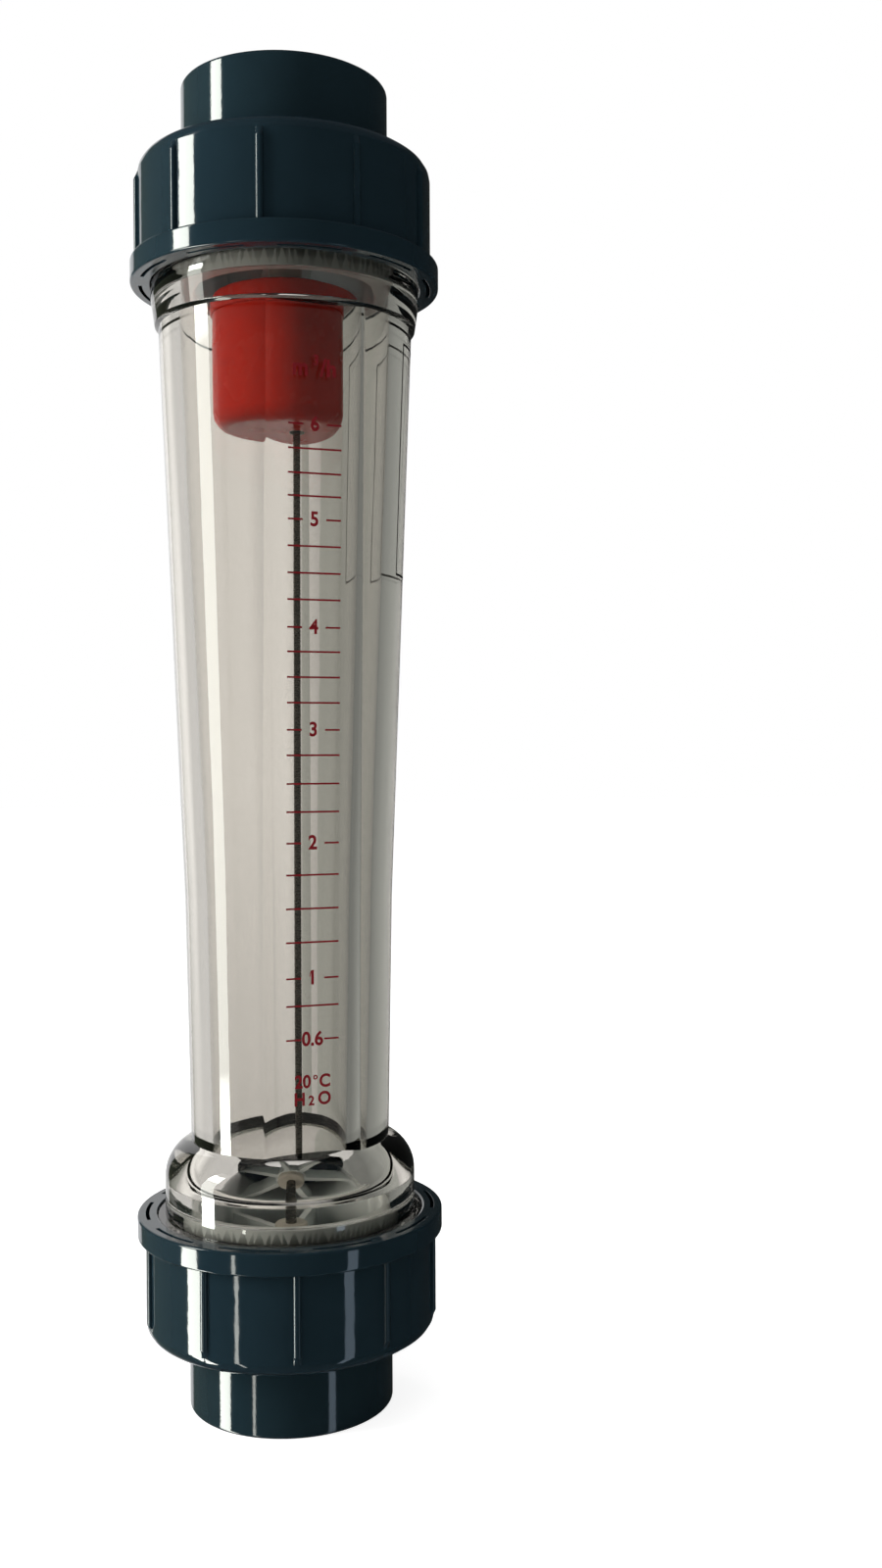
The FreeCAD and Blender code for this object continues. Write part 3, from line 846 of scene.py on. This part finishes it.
float_low, float_high = box_mm("float_body")
lid_low, lid_high = box_mm("float_cap")
weight_high = box_mm("float_weight")[1]
bush_low, bush_high = box_mm("lower_float_bush")
bush_hole, bush_outside, bush_length = 4.08, bush_high[0], bush_high[2] - bush_low[2]
shell_radius, lid_radius, seam_height = float_high[0], lid_high[0], float_high[2]
shorter_by = 6
shell_bottom, shell_wall, hub_wall = float_low[2] + shorter_by, 3.0, 2.5
snug = 0.05
hub_hole = bush_outside + snug
shell = skin(
    "float_shell",
    revolve(
        profile(
            (hub_hole, shell_bottom, 0.2, 4),
            (shell_radius, shell_bottom, 5.5, 20),
            (shell_radius, seam_height, 0.3, 1),
            (shell_radius - shell_wall, seam_height, 0.2, 6),
            (shell_radius - shell_wall, shell_bottom + shell_wall, 2.5, 2),
            (hub_hole + hub_wall, shell_bottom + shell_wall, 0.5, 4),
            (hub_hole + hub_wall, lid_low[2] - snug, 0.3, 0),
            (hub_hole, lid_low[2] - snug, 0.3, 4),
        )
    ),
)
lid = skin(
    "float_lid",
    revolve(
        profile(
            (hub_hole, lid_low[2], 0.3, 3),
            (shell_radius - shell_wall - snug, lid_low[2], 0.3, 1),
            (shell_radius - shell_wall - snug, seam_height, 0.1, 0),
            (lid_radius, seam_height, 0.6, 3),
            (lid_radius, lid_high[2], 0.6, 4),
            (hub_hole, lid_high[2], 0.3, 2),
            hold=0.08,
        )
    ),
)


def turned_ring(name, inside, outside, low, high, edge):
    """Plain ring of a rectangular section with broken edges."""
    corners = ((inside, low, 1), (outside, low, 2), (outside, high, 1), (inside, high, 2))
    section = profile(*((radius, height, edge, stations) for radius, height, stations in corners))
    return skin(name, revolve(section, columns=96))


weight_floor = shell_bottom + shell_wall + snug
weight = turned_ring(
    "float_weight_ring", hub_hole + hub_wall + 2 * snug, weight_high[0], weight_floor, weight_high[2], 0.4
)
bush = turned_ring(
    "lower_running_bush", bush_hole, bush_outside, shell_bottom, shell_bottom + bush_length, 0.2
)

# Red polypropylene, moulded: a warm red that light sinks into a little, under a soft waxy gloss.
red_pp, tree = new_finish("red_polypropylene_moulded")
where = put(tree, "ShaderNodeTexCoord").outputs["Object"]
clouds = put(tree, "ShaderNodeTexNoise", {"Vector": where, "Scale": 80, "Detail": 4})
shade = put(
    tree,
    "ShaderNodeMix",
    {0: clouds.outputs["Fac"], 6: linear("cc200e"), 7: linear("d82a14")},
    data_type="RGBA",
)
waxy = put(
    tree,
    "ShaderNodeMapRange",
    {"Value": clouds.outputs["Fac"], "From Min": 0.1, "From Max": 0.9, "To Min": 0.2, "To Max": 0.32},
)
peel = put(tree, "ShaderNodeTexNoise", {"Vector": where, "Scale": 500, "Detail": 1})
relief = put(tree, "ShaderNodeBump", {"Height": peel.outputs["Fac"], "Strength": 0.1, "Distance": 0.0001})
surface = put(
    tree,
    "ShaderNodeBsdfPrincipled",
    {
        "Base Color": shade.outputs[2],
        "Roughness": waxy.outputs["Result"],
        "IOR": 1.49,
        "Specular IOR Level": 0.2,
        "Normal": relief.outputs["Normal"],
    },
)
put(tree, "ShaderNodeOutputMaterial", {"Surface": surface.outputs["BSDF"]})
for piece, node in ((shell, "float_body"), (lid, "float_cap")):
    piece.data.materials.append(red_pp)
    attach(piece, "float")
    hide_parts(node)

# Acetal bushes and a turned steel ring: plain machined faces, white and grey.
acetal, tree = new_finish("acetal_turned")
where = put(tree, "ShaderNodeTexCoord").outputs["Object"]
marks = put(tree, "ShaderNodeTexNoise", {"Vector": where, "Scale": 900, "Detail": 3})
shade = put(
    tree,
    "ShaderNodeMix",
    {0: marks.outputs["Fac"], 6: linear("deddd6"), 7: linear("ecebe6")},
    data_type="RGBA",
)
surface = put(tree, "ShaderNodeBsdfPrincipled", {"Base Color": shade.outputs[2], "Roughness": 0.35})
put(tree, "ShaderNodeOutputMaterial", {"Surface": surface.outputs["BSDF"]})
nodes["upper_float_bush"].material_slots[0].material = acetal
for piece, node, finish, slot in (
    (weight, "float_weight", ground_steel, "weight_steel"),
    (bush, "lower_float_bush", acetal, "bush_plastic"),
):
    piece.data.materials.append(finish)
    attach(piece, "float")
    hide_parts(node)


# ---- Floor and light ----
# A plain pale floor and background, a tall window-like lamp on the left, two weaker ones behind and above,
# and a soft even fill. Cards round the meter are painted reflections, what its gloss and its clear wall show:
# dark in front, pale behind, and a bright pane and two slits that draw the upright highlights.

square = np.array([(-1, -1), (1, -1), (1, 1), (-1, 1)], float)
floor_half = 6.0
floor_mesh = bpy.data.meshes.new("floor")
floor_mesh.from_pydata(np.column_stack([square * floor_half, np.zeros(4)]), [], [(0, 1, 2, 3)])
floor = bpy.data.objects.new("floor", floor_mesh)
bpy.context.scene.collection.objects.link(floor)
floor.visible_glossy = floor.visible_transmission = False


def seen_directly(tree):
    """Socket that is 1 for rays from the camera, from gloss and through clear pieces, and 0 for others."""
    ray = put(tree, "ShaderNodeLightPath").outputs
    eye_or_gloss = {0: ray["Is Camera Ray"], 1: ray["Is Glossy Ray"]}
    seen = put(tree, "ShaderNodeMath", eye_or_gloss, operation="MAXIMUM").outputs[0]
    seen_or_through = {0: seen, 1: ray["Is Transmission Ray"]}
    return put(tree, "ShaderNodeMath", seen_or_through, operation="MAXIMUM").outputs[0]


# White painted board: matt, with a glow that lifts it to white for the eye and leaves the shadow.
white_floor, tree = new_finish("white_floor")
matt = put(tree, "ShaderNodeBsdfDiffuse", {"Color": linear("e8e8e6")})
glow = put(tree, "ShaderNodeEmission", {"Color": linear("ffffff"), "Strength": 0.82})
lifted = put(tree, "ShaderNodeAddShader", {0: matt.outputs["BSDF"], 1: glow.outputs["Emission"]})
dull_or_lifted = {0: seen_directly(tree), 1: matt.outputs["BSDF"], 2: lifted.outputs["Shader"]}
shown = put(tree, "ShaderNodeMixShader", dull_or_lifted)
put(tree, "ShaderNodeOutputMaterial", {"Surface": shown.outputs["Shader"]})
floor_mesh.materials.append(white_floor)

world = bpy.data.worlds.new("pale_studio")
world.use_nodes = True
tree = world.node_tree
tree.nodes.clear()
fill = put(tree, "ShaderNodeBackground", {"Color": linear("f2f3f5"), "Strength": 0.32})
white = put(tree, "ShaderNodeBackground", {"Color": linear("ffffff"), "Strength": 1.0})
fill_or_white = {0: seen_directly(tree), 1: fill.outputs["Background"], 2: white.outputs["Background"]}
shown = put(tree, "ShaderNodeMixShader", fill_or_white)
put(tree, "ShaderNodeOutputWorld", {"Surface": shown.outputs["Shader"]})
bpy.context.scene.world = world


def area_light(name, azimuth, distance, height, size, power, aim=0.24):
    """Rectangular lamp at an azimuth from the front towards the right, aimed level at the meter's axis."""
    lamp = bpy.data.lights.new(name, "AREA")
    lamp.shape, lamp.size, lamp.size_y, lamp.energy = "RECTANGLE", *size, power
    light = bpy.data.objects.new(name, lamp)
    turn = math.radians(azimuth)
    light.location = (distance * math.sin(turn), -distance * math.cos(turn), height)
    light.rotation_mode = "QUATERNION"
    light.rotation_quaternion = (Vector((0, 0, aim)) - light.location).to_track_quat("-Z", "Y")
    light.visible_glossy = light.visible_transmission = False
    bpy.context.scene.collection.objects.link(light)


area_light("window", azimuth=-93, distance=1.0, height=0.34, size=(0.24, 1.2), power=16)
area_light("back_softbox", azimuth=-148, distance=1.5, height=0.3, size=(0.3, 1.1), power=5)
area_light("ceiling", azimuth=-30, distance=0.9, height=1.35, size=(0.7, 0.7), power=2)


card_distance, card_top, just_inside = 1400, 1500, 1390


# Every card is a painted reflection: a glowing sheet that is no lamp, seen only in gloss and through clear
# pieces.
def painted_reflection_card(name, points, faces, share, colour, gloss, clear):
    """Card that glows for gloss, and for what looks through clear pieces, but lights nothing.

    Each glow goes evenly from its first value where the share is 0 to its second where it is 1.
    """
    mesh = bpy.data.meshes.new(name)
    mesh.from_pydata(points / 1000, [], faces)
    mesh.attributes.new("share", "FLOAT", "POINT").data.foreach_set("value", share)
    piece = bpy.data.objects.new(name, mesh)
    bpy.context.scene.collection.objects.link(piece)
    finish, tree = new_finish(f"{name}_painted_reflection")
    where = put(tree, "ShaderNodeAttribute", attribute_name="share").outputs["Fac"]
    ramps = [
        put(tree, "ShaderNodeMapRange", {"Value": where, "To Min": first, "To Max": last}).outputs["Result"]
        for first, last in (gloss or (0, 0), clear or (0, 0))
    ]
    through = put(tree, "ShaderNodeLightPath").outputs["Is Transmission Ray"]
    strength = put(tree, "ShaderNodeMix", {0: through, 2: ramps[0], 3: ramps[1]}).outputs[0]
    lit = put(tree, "ShaderNodeEmission", {"Color": linear(colour), "Strength": strength})
    put(tree, "ShaderNodeOutputMaterial", {"Surface": lit.outputs["Emission"]})
    mesh.materials.append(finish)
    piece.visible_camera = piece.visible_diffuse = piece.visible_shadow = False
    piece.visible_glossy, piece.visible_transmission = gloss is not None, clear is not None


def curved_card(name, columns, rows, colour, gloss=None, clear=None, distance=card_distance):
    """Upright card bent round the meter, from (azimuth, share) columns and (height, share) rows."""
    facet_degrees = 3
    azimuth, azimuth_share = np.array(columns, float).T
    height, height_share = np.array(rows, float).T
    facets = int((azimuth[-1] - azimuth[0]) / facet_degrees) + 2
    fine = np.linspace(azimuth[0], azimuth[-1], facets)
    points = around_axis(distance, np.radians(fine), height[:, None]).reshape(-1, 3)
    share = np.outer(height_share, np.interp(fine, azimuth, azimuth_share)).ravel()
    index = np.arange(len(share)).reshape(len(height), -1)
    faces = np.stack([index[:-1, 1:], index[:-1, :-1], index[1:, :-1], index[1:, 1:]], -1).reshape(-1, 4)
    painted_reflection_card(name, points, faces.tolist(), share, colour, gloss, clear)


whole = ((-card_top, 1), (card_top, 1))
curved_card("front_card", ((-85.7, 0), (100, 1)), whole, "d8dcd8", gloss=(0.01, 0.02), clear=(0.5, 0.4))
curved_card("right_card", ((100, 0), (160, 1)), whole, "d8dcd8", gloss=(0.02, 0.04), clear=(0.4, 1.1))
curved_card("left_card", ((-160, 0), (-100.3, 1)), whole, "aab49a", gloss=(0.25, 0.25))
pane_rows = ((-card_top, 1), (-250, 1), (-200, 0.25), (650, 0.25), (700, 1), (1150, 1))
curved_card("window_pane", ((-100.3, 1), (-85.7, 1)), pane_rows, "fbfff6", gloss=(0, 24))
slit_rows = ((-card_top, 1), (-330, 1))
curved_card("left_slit", ((-57.5, 1), (-54.5, 1)), slit_rows, "f4f6ee", gloss=(0, 12), distance=just_inside)
curved_card("right_slit", ((27, 1), (35, 1)), slit_rows, "c8dcf0", gloss=(0, 3), distance=just_inside)
backdrop_columns = ((160, 0), (178, 1), (196, 1), (208, 0))
backdrop_rows = ((-500, 0), (200, 1), (card_top, 1))
curved_card("backdrop", backdrop_columns, backdrop_rows, "ffffff", clear=(1.0, 1.7), distance=just_inside)
for name, height in (("high_card", card_top), ("low_card", -card_top)):
    corners = np.column_stack([square * card_distance, np.full(4, height)])
    painted_reflection_card(name, corners, [(0, 1, 2, 3)], np.ones(4), "aab0b8", (0, 0.15), None)


# ---- Camera ----
# A little to the left of the scale and half way up, with the whole meter in the left half of the frame.

camera_data = bpy.data.cameras.new("camera")
camera_data.lens, camera_data.sensor_width = 35.1, 36
camera = bpy.data.objects.new("camera", camera_data)
camera.location = (-0.1345, -0.5457, 0.2376)
heading, pitch, roll = math.radians(19.545), math.radians(-1.26), math.radians(0.23)
looks = Vector((math.sin(heading) * math.cos(pitch), math.cos(heading) * math.cos(pitch), math.sin(pitch)))
camera.rotation_mode = "QUATERNION"
camera.rotation_quaternion = looks.to_track_quat("-Z", "Y") @ Quaternion((0, 0, 1), -roll)
bpy.context.scene.collection.objects.link(camera)
bpy.context.scene.camera = camera
bpy.context.scene.view_settings.view_transform = "Standard"
